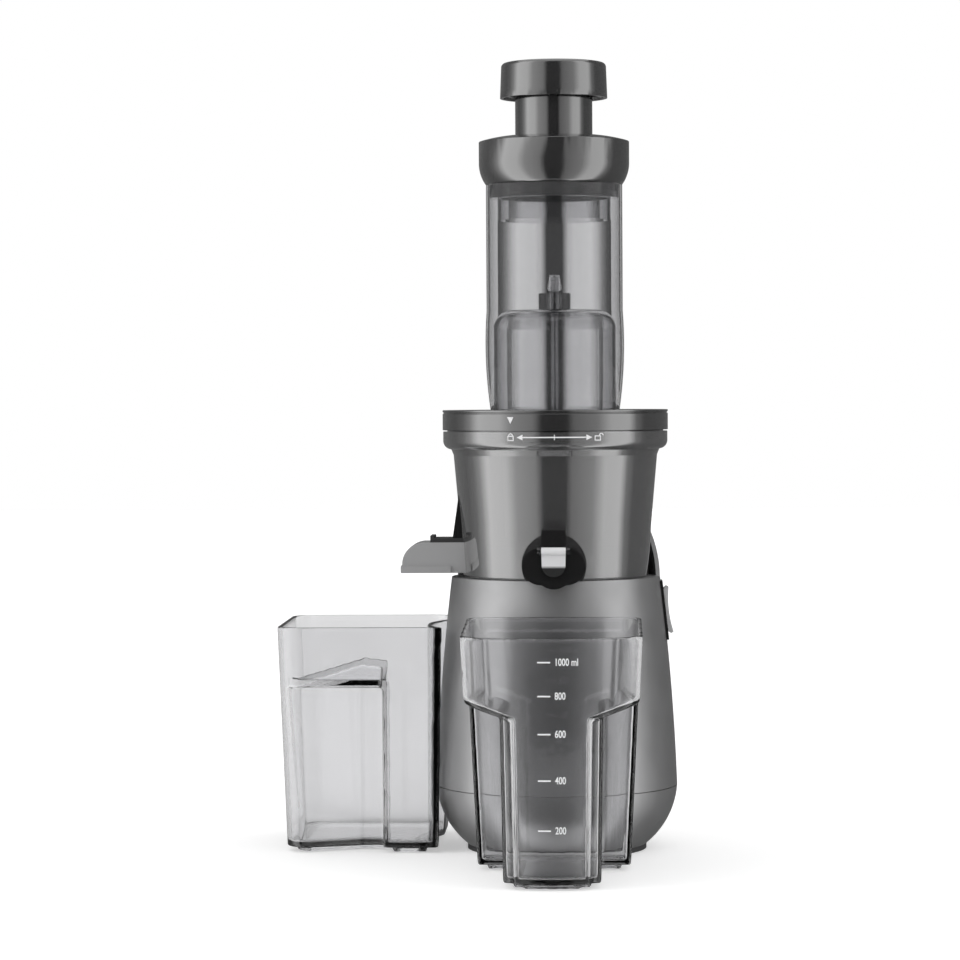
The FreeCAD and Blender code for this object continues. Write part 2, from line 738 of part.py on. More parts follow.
def idler_gear():
    """Wheel of the first stage and pinion of the second in one piece."""
    toward = -math.pi / 2
    wheel = gear(WHEEL_TEETH, WHEEL_ROOT_R, WHEEL_TIP_R, FIRST_Z, FIRST_Z + FIRST_W,
                 tooth_phase(WHEEL_TEETH, toward, False))
    pinion = gear(PINION_TEETH, PINION_ROOT_R, PINION_TIP_R, FIRST_Z + FIRST_W, SECOND_Z + SECOND_W,
                  tooth_phase(PINION_TEETH, toward, True))
    cluster = fused(wheel, pinion)
    cluster.translate(Vector(0, IDLER_Y, 0))
    return less(cluster, disc(IDLER_PIN_R + FIT, CASE_Z, COVER_Z, 0, IDLER_Y))


def output_gear():
    wheel = gear(WHEEL_TEETH, WHEEL_ROOT_R, WHEEL_TIP_R, SECOND_Z, SECOND_Z + SECOND_W,
                 tooth_phase(WHEEL_TEETH, math.pi / 2, False))
    return less(wheel, disc(OUTPUT_R, SECOND_Z, COVER_Z))


def hexagon(flats, z0, z1):
    corner = flats / math.sqrt(3)
    return slab([polar(corner, 60 * number) for number in range(6)], z0, z1)


def drive_shaft():
    return fused(disc(OUTPUT_R, SECOND_Z, TURRET_Z), hexagon(HEX_FLATS, TURRET_Z, HEX_TOP_Z))


def output_bearings():
    low = ring(OUTPUT_BEARING_R, OUTPUT_R + FIT, COVER_Z, COVER_Z + OUTPUT_BEARING_H)
    high = ring(OUTPUT_BEARING_R, OUTPUT_R + FIT, BEARING_TOP_Z - OUTPUT_BEARING_H, BEARING_TOP_Z)
    return Part.makeCompound([low, high])


def shaft_seal():
    """Rubber lip seal in the deck's turret."""
    return ring(TURRET_R - WALL, OUTPUT_R + FIT, DECK_Z - DECK_T, TURRET_Z - WALL)


# Bowl

def bowl_outline(inset):
    """Outer edge of the bowl from its foot to its rim, moved in by inset."""
    return [
        (BOWL_FOOT_R - inset, BOWL_Z), (BOWL_NECK_R - inset, BOWL_NECK_Z), (BOWL_TOP_R - inset, BOWL_TOP_Z),
        (BOWL_TOP_R + 1.4 - inset, BOWL_TOP_Z + 3.4), (FLANGE_R - inset, FLANGE_Z, 1.4),
        (FLANGE_R - inset, RIM_Z),
    ]


def bowl_solid(inset):
    return spin((0, BOWL_Z), *bowl_outline(inset), (0, RIM_Z))


def duct_walls():
    """Side walls of the pulp duct across the bowl's floor."""
    floor = BOWL_Z + BOWL_FLOOR_T
    y = CHUTE_W / 2 - CHUTE_T
    return [block(CHUTE_IN_X - WALL, WALL - HUB_R, middle - WALL / 2, middle + WALL / 2, floor, HUB_TOP_Z)
            for middle in (-y, y)]


def juice_bowl():
    floor = BOWL_Z + BOWL_FLOOR_T
    room = less(bowl_solid(WALL), disc(2 * FLANGE_R, BOWL_Z, floor))
    hub = disc(HUB_R, BOWL_Z, HUB_TOP_Z)
    boss = bar_y(SPOUT_BOSS_R, SPOUT_BOSS_Y, SPOUT_BOSS_Y / 2, 0, SPOUT_Z)
    boss = less(boss, room, disc(2 * FLANGE_R, 0, BOWL_Z))
    walls = [wall.common(room) for wall in duct_walls()]
    bowl = fused(less(bowl_solid(0), room), hub, boss, *walls)
    under = [disc(HUB_BORE_R, BOWL_Z, HUB_TOP_Z - 2 * WALL), disc(STEM_R + FIT, BOWL_Z, HUB_TOP_Z)]
    spout_bore = bar_y(SPOUT_BORE_R + WALL + SEAT, SPOUT_BOSS_Y, SPOUT_BOSS_Y + 3 * WALL, 0, SPOUT_Z)
    spout_hole = bar_y(SPOUT_BORE_R, SPOUT_BOSS_Y, SPOUT_BOSS_Y / 2, 0, SPOUT_Z)
    half = CHUTE_W / 2 + SEAT
    port = block(-2 * FLANGE_R, CHUTE_IN_X, -half, half, CHUTE_Z - SEAT, CHUTE_TOP_Z + SEAT)
    return less(bowl, *under, spout_bore, spout_hole, port)


def strainer_radius(z):
    """Outside radius of the strainer's cone at height z."""
    share = (z - HUB_TOP_Z) / (STRAINER_TOP_Z - HUB_TOP_Z)
    return STRAINER_FLOOR_R + share * (STRAINER_TOP_R - STRAINER_FLOOR_R)


def cone_sleeve(outer_inset, inner_inset, z0, z1):
    return spin(
        (strainer_radius(z0) - outer_inset, z0), (strainer_radius(z1) - outer_inset, z1),
        (strainer_radius(z1) - inner_inset, z1), (strainer_radius(z0) - inner_inset, z0),
    )


def strainer_frame():
    """Basket with a pulp port in its floor and windows for the mesh."""
    floor = ring(STRAINER_FLOOR_R, STEM_R + 2 * WALL, HUB_TOP_Z, HUB_TOP_Z + STRAINER_T)
    frame = fused(floor, cone_sleeve(0, STRAINER_T, HUB_TOP_Z, STRAINER_TOP_Z))
    low, high = HUB_TOP_Z + 3 * STRAINER_T, STRAINER_TOP_Z - 3 * STRAINER_T
    window = block(STRAINER_FLOOR_R / 2, 2 * STRAINER_TOP_R, -WINDOW_W / 2, WINDOW_W / 2, low, high)
    windows = around(turned(window, 180 / WINDOW_COUNT), WINDOW_COUNT)
    half = CHUTE_W / 2 - 2 * CHUTE_T
    port = block(-STRAINER_FLOOR_R + 2 * STRAINER_T, -AUGER_FLOOR_R - 2 * WALL, -half, half, HUB_TOP_Z, low)
    return less(frame, port, *windows)


def strainer_mesh():
    outer = STRAINER_T + SEAT
    return cone_sleeve(outer, outer + MESH_T, HUB_TOP_Z + STRAINER_T, STRAINER_TOP_Z)


def stem_seal():
    """Rubber ring between the bowl's hub and the strainer, round the auger's stem."""
    return ring(STEM_R + 2 * WALL - SEAT, STEM_R + GAP, HUB_TOP_Z, HUB_TOP_Z + STRAINER_T)


def hub_seat():
    """Rubber ring that steadies the hub on the turret."""
    return ring(HUB_BORE_R, TURRET_R + GAP, DECK_Z + TURRET_H / 2, TURRET_Z)


# Spout

def spout_housing():
    r = SPOUT_HALF_H
    flat = SPOUT_HALF_W - r
    oval = side_prism(
        [(flat, SPOUT_Z - r), (flat, SPOUT_Z + r, r), (-flat, SPOUT_Z + r), (-flat, SPOUT_Z - r, r)],
        SPOUT_FRONT_Y, SPOUT_BOSS_Y,
    )
    nose = bar_y(NOSE_R, SPOUT_FRONT_Y, SPOUT_BOSS_Y, 0, NOSE_Z + NOSE_R)
    spigot = bar_y(SPOUT_BORE_R + WALL, SPOUT_BOSS_Y, SPOUT_BOSS_Y + 3 * WALL, 0, SPOUT_Z)
    housing = fused(oval, nose, spigot, spout_bracket(), *hinge_ears())
    bore = bar_y(SPOUT_BORE_R, SPOUT_FRONT_Y, SPOUT_BOSS_Y + 3 * WALL, 0, SPOUT_Z)
    pin_hole = bar_x(HINGE_PIN_R, -FLAP_W, FLAP_W, hinge_y(), FLAP_HINGE_Z)
    return less(housing, bore, pin_hole)


def hinge_y():
    return SPOUT_FRONT_Y - HINGE_R - GAP


def hinge_ears():
    ears = []
    for side in (-1, 1):
        near, far = side * (FLAP_W / 2 + GAP), side * (FLAP_W / 2 + GAP + HINGE_EAR)
        x0, x1 = min(near, far), max(near, far)
        ears.append(bar_x(HINGE_R, x0, x1, hinge_y(), FLAP_HINGE_Z))
        low, high = FLAP_HINGE_Z - HINGE_R, FLAP_HINGE_Z + HINGE_R
        ears.append(block(x0, x1, hinge_y(), SPOUT_FRONT_Y + 2 * HINGE_R, low, high))
    return ears


def spout_bracket():
    """Hooked strap over the flap's hinge, reaching back to the bowl."""
    half = FLAP_W / 2
    low = SPOUT_Z + SPOUT_HALF_H - FLAP_T
    front = block(-half, half, SPOUT_FRONT_Y, SPOUT_FRONT_Y + FLAP_T, low, FLAP_TOP_Z)
    top = block(-half, half, SPOUT_FRONT_Y, SPOUT_BOSS_Y / 2, FLAP_TOP_Z - FLAP_T, FLAP_TOP_Z)
    boss = bar_y(SPOUT_BOSS_R, SPOUT_BOSS_Y, SPOUT_BOSS_Y / 2, 0, SPOUT_Z)
    return less(fused(front, top), bowl_solid(0), boss)


def spout_flap():
    half = TONGUE_W / 2
    back = SPOUT_FRONT_Y - GAP
    low = FLAP_BOTTOM_Z + half - 1
    tongue = side_prism(
        [(FLAP_W / 2, FLAP_HINGE_Z), (-FLAP_W / 2, FLAP_HINGE_Z), (-half + 0.8, low),
         (half - 0.8, low, half - 1)],
        back - FLAP_T, back,
    )
    barrel = bar_x(HINGE_R, -FLAP_W / 2, FLAP_W / 2, hinge_y(), FLAP_HINGE_Z)
    return less(fused(tongue, barrel), bar_x(HINGE_PIN_R + FIT, -FLAP_W, FLAP_W, hinge_y(), FLAP_HINGE_Z))


def spout_hinge_pin():
    reach = FLAP_W / 2 + GAP + HINGE_EAR
    return bar_x(HINGE_PIN_R, -reach, reach, hinge_y(), FLAP_HINGE_Z)


# Pulp outlet

def chute_outline(inset):
    corner = (CHUTE_ROUND - inset) * (1 - math.sqrt(0.5))
    left, top = CHUTE_OUT_X + inset, CHUTE_TOP_Z - inset
    return [
        (CHUTE_IN_X, CHUTE_Z), (left, CHUTE_Z), (left, CHUTE_TOP_Z - CHUTE_ROUND),
        (CHUTE_OUT_X + CHUTE_ROUND, top, -corner), (CHUTE_IN_X, top),
    ]


def pulp_chute():
    """Hooded spout that drops the pulp through its open underside."""
    half = CHUTE_W / 2
    hood = side_prism(chute_outline(0), -half, half)
    inner = half - CHUTE_T
    room = side_prism(chute_outline(CHUTE_T), -inner, inner)
    lip_x = -DECK_R
    wide, lip_top = half + CHUTE_LIP, CHUTE_Z + CHUTE_LIP_H
    lip = block(CHUTE_OUT_X - CHUTE_LIP / 2, lip_x, -wide, wide, CHUTE_Z, lip_top)
    floor = block(lip_x - CHUTE_T, CHUTE_IN_X, -half, half, CHUTE_Z, CHUTE_Z + CHUTE_T)
    return fused(less(fused(hood, lip), room), floor)


def pulp_plug():
    """Soft plug with a finger tab, on top of the chute."""
    half = COVER_W / 2
    tab = block(TAB_OUT_X, -BOWL_NECK_R + WALL, -half, half, CHUTE_TOP_Z, CHUTE_TOP_Z + TAB_T)
    grip = block(TAB_OUT_X, TAB_OUT_X + TAB_T, -half, half, CHUTE_TOP_Z, CHUTE_TOP_Z + 1.6 * TAB_T)
    return less(fused(tab, grip), bowl_solid(0))


def outlet_cover():
    """Tapered cover on the bowl over the pulp outlet."""
    low = CHUTE_TOP_Z + TAB_T
    half = COVER_W / 2
    wedge = side_prism(
        [(COVER_OUT_X, low), (-BOWL_NECK_R, COVER_TOP_Z), (-HUB_R, COVER_TOP_Z), (-HUB_R, low)], -half, half,
    )
    return less(wedge, bowl_solid(0))


# Auger

def auger():
    """Screw with a tapered core, turned by the hexagon shaft in its stem."""
    floor = HUB_TOP_Z + STRAINER_T + 2 * GAP
    low = TURRET_Z + 2
    core = spin(
        (0, low), (STEM_R, low), (STEM_R, floor), (AUGER_FLOOR_R, floor), (AUGER_FLOOR_R, floor + FLIGHT_T),
        (AUGER_CAP_R, AUGER_TOP_Z - AUGER_CAP_R / 2, -2), (SPINDLE_R + 2, AUGER_TOP_Z, 1), (0, AUGER_TOP_Z),
    )
    screw_body = fused(core, *[flight(floor + FLIGHT_T, turn) for turn in (0, 180)])
    socket = hexagon(HEX_FLATS + 2 * GAP, low, HEX_TOP_Z + 2)
    return less(screw_body, socket, disc(SPINDLE_R, AUGER_TOP_Z - 3 * AUGER_CAP_R / 2, AUGER_TOP_Z))


def flight(z, start):
    """One helical blade that climbs round the core."""
    path = Part.makeHelix(FLIGHT_PITCH, FLIGHT_PITCH * FLIGHT_TURNS, AUGER_CAP_R)
    inner, outer = AUGER_CAP_R / 2, FLIGHT_R
    corners = [(inner, 0), (outer, 0), (outer, FLIGHT_T / 2), (inner, FLIGHT_T)]
    section = closed_wire(corners, lambda r, height: Vector(r, 0, height))
    blade = Part.Wire(path).makePipeShell([section], True, True)
    blade.translate(Vector(0, 0, z))
    return turned(blade, start)


def auger_spindle():
    return disc(SPINDLE_R, AUGER_TOP_Z - 3 * AUGER_CAP_R / 2, CONE_Z + CONE_H - 2 * CONE_T)


# Lid, feed tube and dome

def bowl_lid():
    plate_z = LID_TOP_Z - WALL
    mouth = FLANGE_R - WALL - GAP
    hole = TUBE_FOOT_R - 2 * TUBE_T
    spigot_z = RIM_Z - LID_SPIGOT / 2
    return spin(
        (LID_R, LID_Z), (LID_R, LID_TOP_Z), (hole, LID_TOP_Z), (hole, plate_z),
        (mouth - WALL, plate_z), (mouth - WALL, spigot_z), (mouth, spigot_z), (mouth, LID_Z),
    )


def tube_outline(inset):
    """Edge of the feed tube from the lid up, with its swell round the dome."""
    return [
        (TUBE_FOOT_R - inset, LID_TOP_Z), (TUBE_R - inset, TUBE_NECK_Z, TUBE_SWELL),
        (TUBE_R - inset, TUBE_TOP_Z),
    ]


def feed_tube():
    return spin(*tube_outline(0), *[point[:2] for point in reversed(tube_outline(TUBE_T))][:2],
                (TUBE_FOOT_R - TUBE_T, LID_TOP_Z, -TUBE_SWELL))


def dome_solid(inset):
    r = TUBE_FOOT_R - TUBE_T - SEAT - inset
    top = DOME_TOP_Z - inset
    turn = DOME_ROUND - inset
    return spin((0, LID_TOP_Z), (r, LID_TOP_Z), (r, top - turn), (r - turn, top, corner_bend(turn)), (0, top))


def feed_dome():
    """Fixed inverted cup that carries the spindle, open at the back for the food."""
    dome = less(dome_solid(0), dome_solid(DOME_T))
    far = 2 * TUBE_R
    half = math.radians(DOME_WINDOW / 2)
    side_x, side_y = far * math.sin(half), far * math.cos(half)
    window = slab([(0, 0), (side_x, side_y), (-side_x, side_y)], LID_TOP_Z + DOME_T, DOME_TOP_Z - DOME_ROUND)
    return less(dome, window, disc(SPINDLE_R + 1, LID_TOP_Z, DOME_TOP_Z))


def spindle_bush():
    return ring(BUSH_R, SPINDLE_R + FIT, BUSH_Z, CONE_Z)


def spindle_cone():
    """Clear cap over the spindle's end."""
    outside = Part.makeCone(CONE_FOOT_R, CONE_TOP_R, CONE_H, Vector(0, 0, CONE_Z))
    return less(outside, disc(SPINDLE_R + GAP, CONE_Z, CONE_Z + CONE_H - CONE_T))


# Collar and pusher

def tube_collar():
    """Funnel that plugs into the top of the feed tube and guides the pusher."""
    skirt_r = TUBE_R - TUBE_T - GAP
    hole_r = STEM_TUBE_R + GAP
    shoulder = TUBE_TOP_Z + GAP
    collar = spin(
        (skirt_r, COLLAR_SKIRT_Z), (skirt_r, shoulder), (TUBE_R, shoulder), (COLLAR_R, COLLAR_WAIST_Z, 1.2),
        (COLLAR_R, COLLAR_EDGE_Z), (hole_r + WALL, COLLAR_TOP_Z, 0.6),
        (hole_r, COLLAR_TOP_Z - COLLAR_CHAMFER),
        (hole_r, COLLAR_WAIST_Z - 2 * WALL), (hole_r + WALL, COLLAR_WAIST_Z - 2 * WALL),
        (hole_r + WALL, COLLAR_TOP_Z - 2 * WALL), (COLLAR_R - WALL, COLLAR_EDGE_Z - WALL),
        (COLLAR_R - WALL, COLLAR_WAIST_Z), (SKIRT_R, shoulder + WALL), (SKIRT_R, COLLAR_SKIRT_Z),
    )
    return less(collar, rib_room(COLLAR_WAIST_Z - 3 * WALL, COLLAR_TOP_Z + 1))


def rib_room(z0, z1):
    """Notch for the pusher's guide rib at the front of the collar's hole."""
    half = RIB_W / 2 + GAP
    return block(-half, half, -STEM_TUBE_R - RIB_RISE - GAP, -STEM_TUBE_R + WALL, z0, z1)


def guide_skirt():
    """Clear sleeve under the collar, arched at the front and the back."""
    sleeve = ring(SKIRT_R, SKIRT_R - SKIRT_T, SKIRT_Z, TUBE_TOP_Z)
    arch = side_prism(
        [(ARCH_W, SKIRT_Z - 1), (-ARCH_W, SKIRT_Z - 1, -ARCH_H)], -2 * SKIRT_R, 2 * SKIRT_R,
    )
    return less(sleeve, arch)


def pusher_stem():
    """Hollow stem with a closed foot and a guide rib down its front."""
    top = CAP_Z + CAP_H - WALL
    stem = less(disc(STEM_TUBE_R, STEM_TUBE_Z, top), disc(STEM_TUBE_R - WALL, STEM_TUBE_Z + WALL, top))
    half = RIB_W / 2
    rib = block(-half, half, -STEM_TUBE_R - RIB_RISE, -STEM_TUBE_R + WALL / 2, STEM_TUBE_Z, CAP_Z + WALL)
    return fused(stem, rib)


def pusher_cap():
    low_r, top = CAP_R + CAP_FLARE, CAP_Z + CAP_H
    turn = corner_bend(CAP_ROUND)
    cap = spin(
        (low_r, CAP_Z), (CAP_R, top - CAP_ROUND), (CAP_R - CAP_ROUND, top, turn), (0, top), (0, top - WALL),
        (CAP_R - WALL, top - WALL), (low_r - WALL, CAP_Z),
    )
    notch = bar_y(RIB_W / 2 + GAP, -2 * CAP_R, -STEM_TUBE_R, 0, CAP_Z + WALL)
    return less(cap, notch)


# Juice jug

def jug_outline(half, back, front, inset):
    """Plan of the jug, flat at the back and gently bowed at the front."""
    w, back, front = half - inset, back - inset, front + inset
    r, turn = JUG_CORNER_R, JUG_FRONT_CORNER_R
    return [
        (w, front + turn), (w, back - r), (w - r, back, corner_bend(r)), (r - w, back),
        (-w, back - r, corner_bend(r)), (-w, front + turn), (turn - w, front, corner_bend(turn)),
        (w - turn, front, JUG_FRONT_BULGE), (w, front + turn, corner_bend(turn)),
    ][1:]


def jug_at(low, high, z):
    """Size at height z of a wall that leans from low at the foot to high at the rim."""
    return low + (high - low) * z / JUG_RIM_Z


def jug_full(inset, z0, z1):
    """Jug without its side recesses, between two heights."""
    plans = []
    for z in (z0, z1):
        half = jug_at(JUG_HALF_W, JUG_RIM_HALF_W, z)
        back = jug_at(JUG_BACK_Y, JUG_RIM_BACK_Y, z)
        front = jug_at(JUG_FRONT_Y, JUG_RIM_FRONT_Y, z)
        plans.append(jug_outline(half, back, front, inset))
    return drafted(plans[0], z0, plans[1], z1)


def jug_recess(side, inset):
    """Space beside the front block, under a roof that rises outwards."""
    far = 2 * JUG_RIM_HALF_W
    back = BLOCK_BACK_Y + inset
    turn = BLOCK_CORNER_R

    def plan(half, z):
        near = half - inset
        front = jug_at(JUG_FRONT_Y, JUG_RIM_FRONT_Y, z) - JUG_FRONT_BULGE / 2 + inset
        return [
            (near, back), (near, front + turn), (near - turn, front, corner_bend(turn)),
            (near - turn, 2 * JUG_RIM_FRONT_Y), (far, 2 * JUG_RIM_FRONT_Y), (far, back),
        ]

    def roof(x, y):
        return Vector(side * x, y, LEDGE_Z + inset + LEDGE_SLOPE * (x - BLOCK_TOP_HALF_W))

    low = closed_wire(plan(BLOCK_HALF_W, 0), lambda x, y: Vector(side * x, y, -1))
    high = closed_wire(plan(BLOCK_TOP_HALF_W, LEDGE_Z), roof)
    return Part.makeLoft([low, high], True, True)


def jug_body(inset, z0, z1):
    return less(jug_full(inset, z0, z1), jug_recess(1, inset), jug_recess(-1, inset))


def juice_jug():
    top = JUG_RIM_Z + 2 * JUG_RIM_RISE
    outside = jug_body(0, JUG_FOOT_H, top)
    cavity = jug_body(JUG_WALL, JUG_FOOT_H + JUG_FLOOR_T, top)
    foot = jug_body(JUG_FOOT_INSET, 0, JUG_FOOT_H)
    foot = less(foot, jug_body(JUG_FOOT_INSET + JUG_FOOT_T, 0, JUG_FOOT_H))
    depth = JUG_RIM_BACK_Y - JUG_RIM_FRONT_Y
    rise = JUG_RIM_RISE / depth
    near, far = JUG_RIM_FRONT_Y - depth, JUG_RIM_BACK_Y + depth
    over = end_prism(
        [(near, JUG_RIM_Z - rise * depth), (far, JUG_RIM_Z + 2 * JUG_RIM_RISE),
         (far, 2 * top), (near, 2 * top)],
        -2 * JUG_RIM_HALF_W, 2 * JUG_RIM_HALF_W,
    )
    return fused(less(outside, cavity, over), foot)


# Pulp container

def bin_outline(growth, inset):
    """Rounded plan of the container before the housing's round is cut from it."""
    left, right = BIN_X - growth + inset, BIN_RIGHT_X + growth - inset
    front, back = BIN_FRONT_Y - growth + inset, BIN_BACK_Y + growth - inset
    r = BIN_CORNER_R
    return [
        (right, front + r / 4), (right, back - r), (right - r, back, corner_bend(r)), (left + r, back),
        (left, back - r, corner_bend(r)), (left, front + r), (left + r, front, corner_bend(r)),
        (right - r / 4, front), (right, front + r / 4, corner_bend(r / 4)),
    ][1:]


def grip_recess(inset):
    """Finger grip that deepens along the front, under a sloping roof."""
    front = BIN_FRONT_Y - BIN_RIM_GROWTH
    step = GRIP_RIGHT_X + inset
    deep = BIN_FRONT_Y + GRIP_DEPTH + inset
    plan = [
        (step, 2 * front), (step, deep), (step - GRIP_DEPTH, deep + GRIP_DEPTH / 8),
        (GRIP_LEFT_X, BIN_FRONT_Y + inset), (2 * GRIP_LEFT_X, 2 * front),
    ]
    shape = slab(plan, -1, BIN_RIM_Z)
    roof_z = GRIP_Z + inset

    def roof(y):
        return roof_z + GRIP_ROOF_SLOPE * (y - front)

    over = end_prism(
        [(2 * front, roof(2 * front)), (BIN_BACK_Y, roof(BIN_BACK_Y)), (BIN_BACK_Y, 2 * roof(BIN_BACK_Y)),
         (2 * front, 2 * roof(BIN_BACK_Y))],
        2 * BIN_X, 0,
    )
    return less(shape, over)


def bin_body(inset, z0, z1):
    share = BIN_RIM_GROWTH / BIN_RIM_Z
    body = drafted(bin_outline(share * z0, inset), z0, bin_outline(share * z1, inset), z1)
    return less(body, disc(BIN_HUG_R + inset, z0, z1), grip_recess(inset))


def pulp_container():
    outside = bin_body(0, BIN_FOOT_H, BIN_RIM_Z)
    cavity = bin_body(JUG_WALL, BIN_FOOT_H + JUG_FLOOR_T, BIN_RIM_Z)
    foot = bin_body(JUG_FOOT_INSET, 0, BIN_FOOT_H)
    foot = less(foot, bin_body(JUG_FOOT_INSET + JUG_FOOT_T, 0, BIN_FOOT_H))
    return fused(less(outside, cavity), foot)


PIECES = (
    base_shell, base_bottom, foot_ring, case_screws, cord_inlet, control_board, run_capacitor,
    switch_bezel, rocker_switch,
    motor_can, motor_stator, motor_end_bell, motor_screws, motor_bearings,
    motor_rotor, motor_shaft, cooling_fan,
    gearbox_case, gearbox_cover, gearbox_screws, vibration_mounts, idler_pin, idler_gear,
    output_gear, drive_shaft, output_bearings, shaft_seal,
    juice_bowl, hub_seat, stem_seal, strainer_frame, strainer_mesh,
    spout_housing, spout_flap, spout_hinge_pin, pulp_chute, pulp_plug, outlet_cover,
    auger, auger_spindle,
    bowl_lid, feed_tube, feed_dome, spindle_bush, spindle_cone,
    tube_collar, guide_skirt, pusher_stem, pusher_cap,
    juice_jug, pulp_container,
)

for piece in PIECES:
    piece().exportStep("parts/" + piece.__name__ + ".step")
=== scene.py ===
# Cold press juicer: finish, marks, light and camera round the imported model. Metres, Z up, front at -Y.
import math

import bmesh
import bpy
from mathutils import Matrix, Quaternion, Vector


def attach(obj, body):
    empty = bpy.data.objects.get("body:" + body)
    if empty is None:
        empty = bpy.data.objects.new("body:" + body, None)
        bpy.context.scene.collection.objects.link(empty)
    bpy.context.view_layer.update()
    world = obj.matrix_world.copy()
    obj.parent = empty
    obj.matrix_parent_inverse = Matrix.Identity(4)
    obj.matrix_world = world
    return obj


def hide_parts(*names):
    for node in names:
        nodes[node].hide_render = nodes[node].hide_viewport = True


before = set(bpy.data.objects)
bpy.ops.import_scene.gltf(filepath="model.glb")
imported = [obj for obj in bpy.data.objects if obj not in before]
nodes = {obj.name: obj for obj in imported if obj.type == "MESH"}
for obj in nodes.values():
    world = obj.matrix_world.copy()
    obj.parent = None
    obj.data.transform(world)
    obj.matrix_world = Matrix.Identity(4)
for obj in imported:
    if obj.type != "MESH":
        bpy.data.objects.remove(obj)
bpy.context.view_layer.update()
MM = 0.001

# View of the photograph: the eye, what the middle of the picture shows, lens and sensor in millimetres, and the
# camera's roll in degrees
EYE = Vector((33.0, -2040.0, 272.0)) * MM
AIM = Vector((-45.3, 0.0, 220.8)) * MM
LENS = 127.5
SENSOR = 36.0
ROLL = -0.3


# Node trees

def feed(tree, socket, value):
    """Sets a socket to a number, or links it to another socket."""
    if isinstance(value, (int, float)):
        socket.default_value = value
    else:
        tree.links.new(value, socket)


def set_levels(shader, levels):
    for socket, level in levels.items():
        shader.inputs[socket].default_value = level


def math_node(tree, operation, first, second=0.0):
    node = tree.nodes.new("ShaderNodeMath")
    node.operation = operation
    for socket, value in zip(node.inputs, (first, second)):
        feed(tree, socket, value)
    return node.outputs[0]


def pick(tree, choice, off, on):
    """off where choice is 0, on where it is 1."""
    node = tree.nodes.new("ShaderNodeMix")
    for socket, value in zip((node.inputs["Factor"], node.inputs["A"], node.inputs["B"]), (choice, off, on)):
        feed(tree, socket, value)
    return node.outputs["Result"]


def remap(tree, value, old, new=(0.0, 1.0)):
    """Maps the range old of a value onto the range new."""
    node = tree.nodes.new("ShaderNodeMapRange")
    set_levels(node, dict(zip(("From Min", "From Max", "To Min", "To Max"), (*old, *new))))
    tree.links.new(value, node.inputs["Value"])
    return node.outputs["Result"]


def object_place(tree):
    return tree.nodes.new("ShaderNodeTexCoord").outputs["Object"]


def split_axes(tree, place):
    node = tree.nodes.new("ShaderNodeSeparateXYZ")
    tree.links.new(place, node.inputs[0])
    return node.outputs


def grey_ramp(tree, value, stops):
    """Piecewise grey by value; stops hold pairs of value and level, both from 0 to 1."""
    ramp = tree.nodes.new("ShaderNodeValToRGB")
    tree.links.new(value, ramp.inputs["Fac"])
    marks = ramp.color_ramp.elements
    while len(marks) > 1:
        marks.remove(marks[0])
    for number, (place, level) in enumerate(stops):
        mark = marks[0] if number == 0 else marks.new(place)
        mark.position = place
        mark.color = (level, level, level, 1)
    return ramp.outputs["Color"]


# Materials. A noise's scale is in cells per metre.

COLOUR_NOISE, GLOSS_NOISE = 14.0, 60.0
CLEAR_COLOUR_NOISE, CLEAR_GLOSS_NOISE, CLEAR_WAVE_NOISE = 22.0, 45.0, 160.0
PLAIN_GRAIN = 900.0
NOISE_SPAN = (0.3, 0.7)
BLUE_TINT = 1.01

# How far colour and roughness drift over a surface, as shares of their level
COLOUR_DRIFT = (0.94, 1.06)
GLOSS_DRIFT = (0.9, 1.12)
CLEAR_COLOUR_DRIFT = (0.96, 1.03)
CLEAR_GLOSS_DRIFT = (0.7, 1.3)

SOLID_COAT_ROUGH, CLEAR_COAT_ROUGH = 0.08, 0.05
GRAIN_DEPTH, WAVE_DEPTH = 0.0002, 0.0003
FAINT = 0.03


def new_material(name):
    material = bpy.data.materials.new(name)
    material.use_nodes = True
    tree = material.node_tree
    return material, tree, tree.nodes["Principled BSDF"]


def noise(tree, scale, detail=3.0):
    texture = tree.nodes.new("ShaderNodeTexNoise")
    set_levels(texture, {"Scale": scale, "Detail": detail})
    tree.links.new(object_place(tree), texture.inputs["Vector"])
    return texture.outputs["Fac"]


def grey(value):
    return value, value, value * BLUE_TINT


def shade_mix(tree, value, dark, light):
    node = tree.nodes.new("ShaderNodeMix")
    node.data_type = "RGBA"
    set_levels(node, {"A": (*grey(dark), 1), "B": (*grey(light), 1)})
    tree.links.new(value, node.inputs["Factor"])
    return node.outputs["Result"]


def add_bump(tree, shader, value, strength, distance):
    node = tree.nodes.new("ShaderNodeBump")
    set_levels(node, {"Strength": strength, "Distance": distance})
    tree.links.new(value, node.inputs["Height"])
    tree.links.new(node.outputs["Normal"], shader.inputs["Normal"])


def solid(name, level, rough, metal=0.0, grain=PLAIN_GRAIN, bump=0.05, coat=0.0, shine=0.5):
    """Opaque moulding or metal with a fine grain, small colour drift and uneven gloss."""
    material, tree, shader = new_material(name)
    colour = shade_mix(tree, noise(tree, COLOUR_NOISE), *(level * share for share in COLOUR_DRIFT))
    tree.links.new(colour, shader.inputs["Base Color"])
    patches = remap(tree, noise(tree, GLOSS_NOISE), NOISE_SPAN, [rough * share for share in GLOSS_DRIFT])
    tree.links.new(patches, shader.inputs["Roughness"])
    set_levels(shader, {"Metallic": metal, "Specular IOR Level": shine, "Coat Weight": coat,
                        "Coat Roughness": SOLID_COAT_ROUGH})
    add_bump(tree, shader, noise(tree, grain, detail=4.0), bump, GRAIN_DEPTH)
    return material


